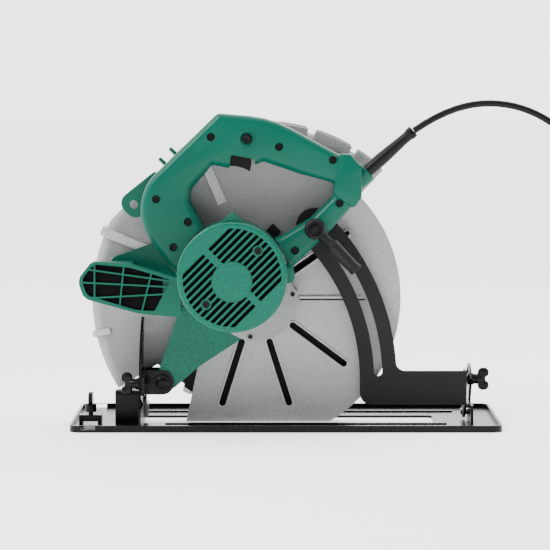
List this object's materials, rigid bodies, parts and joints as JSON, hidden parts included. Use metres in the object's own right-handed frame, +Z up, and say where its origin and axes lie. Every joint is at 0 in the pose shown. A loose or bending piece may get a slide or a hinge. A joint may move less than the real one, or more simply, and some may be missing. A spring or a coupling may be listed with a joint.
{
  "type": "circular saw",
  "caption": "Corded circular saw with a closed handle, slotted motor cover, large guards, depth arc and a tilting base.",
  "frame": {"origin": "underside of the base, in the plane of the blade, at the middle of the base's length", "axes": "+X towards the rear, where the cord leaves; -Y towards the motor; +Z up"},
  "size_m": [0.874, 0.3144, 0.4092],
  "materials": {
    "base_black": "gloss",
    "black_steel": "satin",
    "charcoal": "satin",
    "cast_grey": "cast",
    "bright_steel": "satin",
    "zinc": "plated",
    "green_hammered": "hammered",
    "green_moulded": "satin",
    "black_plastic": "matt",
    "rubber": "matt",
    "copper": "satin",
    "brass": "satin",
    "laminated_steel": "matt"
  },
  "bodies": {
    "base": {"base_plate": "base_black", "front_quadrant": "black_steel", "rear_quadrant": "black_steel", "front_hinge_block": "black_steel", "hinge_pins": "zinc", "fence_bracket": "black_steel"},
    "fence_screw": {"fence_screw": "black_plastic"},
    "tilt_frame": {"front_tilt_bracket": "black_steel", "depth_pivot_bolt": "black_steel", "depth_pivot_nut": "zinc", "depth_guide": "charcoal", "cord_tube": "rubber", "cord_coil": "rubber", "plug_body": "rubber", "plug_pins": "bright_steel"},
    "front_wing_bolt": {"front_wing_bolt": "black_plastic"},
    "rear_wing_bolt": {"rear_wing_bolt": "black_plastic"},
    "saw_body": {"upper_guard": "cast_grey", "gear_case": "cast_grey", "gear_case_screws": "black_steel", "guard_retaining_ring": "zinc", "guard_spring": "bright_steel", "spindle_bearing_front": "bright_steel", "spindle_bearing_rear": "bright_steel", "pivot_arm": "green_hammered", "motor_housing": "green_hammered", "motor_cover": "green_hammered", "motor_cover_screws": "black_steel", "motor_bearing_rear": "bright_steel", "motor_bearing_front": "bright_steel", "stator_core": "laminated_steel", "brush_holders": "brass", "carbon_brushes": "black_plastic", "exhaust_duct": "green_moulded", "exhaust_grille": "green_moulded", "handle_shell_near": "green_moulded", "handle_shell_far": "green_moulded", "handle_screws": "black_steel", "hanging_ear": "green_moulded", "trigger_pin": "zinc", "switch_box": "black_plastic", "cord_guard": "rubber", "depth_lock_bolt": "black_steel"},
    "depth_lever": {"lever_cap_nut": "black_steel", "depth_lock_lever": "black_plastic"},
    "lower_guard": {"lower_guard": "cast_grey"},
    "spindle": {"saw_blade": "charcoal", "spindle": "bright_steel", "inner_flange": "zinc", "outer_flange": "zinc", "blade_bolt": "black_steel", "spindle_gear": "bright_steel"},
    "armature": {"motor_shaft": "bright_steel", "armature_core": "laminated_steel", "armature_windings": "copper", "commutator": "copper", "cooling_fan": "black_plastic"},
    "trigger": {"trigger": "black_plastic"},
    "lock_button": {"lock_off_button": "black_plastic"},
    "spindle_lock": {"spindle_lock_button": "black_plastic"}
  },
  "joints": [
    {"name": "bevel", "type": "hinge", "parent": "base", "child": "tilt_frame", "pos_m": [0, 0, 0.012], "axis": [-1, 0, 0], "range_deg": [0, 45]},
    {"name": "depth", "type": "hinge", "parent": "tilt_frame", "child": "saw_body", "pos_m": [-0.1526, -0.06, 0.057], "axis": [0, 1, 0], "range_deg": [0, 40]},
    {"name": "guard_swing", "type": "hinge", "parent": "saw_body", "child": "lower_guard", "pos_m": [-0.038, -0.02, 0.158], "axis": [0, -1, 0], "range_deg": [0, 120], "stiffness_Nm_per_rad": 0.15, "springref_deg": -51.57},
    {"name": "blade_spin", "type": "hinge", "parent": "saw_body", "child": "spindle", "pos_m": [-0.038, 0, 0.158], "axis": [0, 1, 0], "continuous": true},
    {"name": "armature_spin", "type": "hinge", "parent": "saw_body", "child": "armature", "pos_m": [-0.06477, -0.12, 0.19417], "axis": [0, 1, 0], "continuous": true},
    {"name": "trigger_pull", "type": "hinge", "parent": "saw_body", "child": "trigger", "pos_m": [-0.066, -0.072, 0.343], "axis": [0, -1, 0], "range_deg": [0, 8], "stiffness_Nm_per_rad": 0.4, "springref_deg": -11.46},
    {"name": "lock_off_push", "type": "slide", "parent": "saw_body", "child": "lock_button", "axis": [0, 1, 0], "range_m": [0, 0.003], "stiffness_N_per_m": 400, "springref_m": -0.002},
    {"name": "spindle_lock_push", "type": "slide", "parent": "saw_body", "child": "spindle_lock", "axis": [0, 1, 0], "range_m": [0, 0.003], "stiffness_N_per_m": 400, "springref_m": -0.002},
    {"name": "depth_lever_turn", "type": "hinge", "parent": "saw_body", "child": "depth_lever", "pos_m": [0.03558, -0.104, 0.24782], "axis": [0, -1, 0], "range_deg": [0, 60]},
    {"name": "front_wing_turn", "type": "hinge", "parent": "tilt_frame", "child": "front_wing_bolt", "pos_m": [-0.19, -0.105, 0.058], "axis": [-1, 0, 0], "range_deg": [0, 180]},
    {"name": "rear_wing_turn", "type": "hinge", "parent": "tilt_frame", "child": "rear_wing_bolt", "pos_m": [0.24, -0.027, 0.056], "axis": [1, 0, 0], "range_deg": [0, 180]},
    {"name": "fence_screw_turn", "type": "hinge", "parent": "base", "child": "fence_screw", "pos_m": [-0.242, -0.065, 0.02], "axis": [0, 0, 1], "range_deg": [0, 180]}
  ],
  "couplings": [
    {"joint": "armature_spin", "follows": "blade_spin", "ratio": -5}
  ]
}
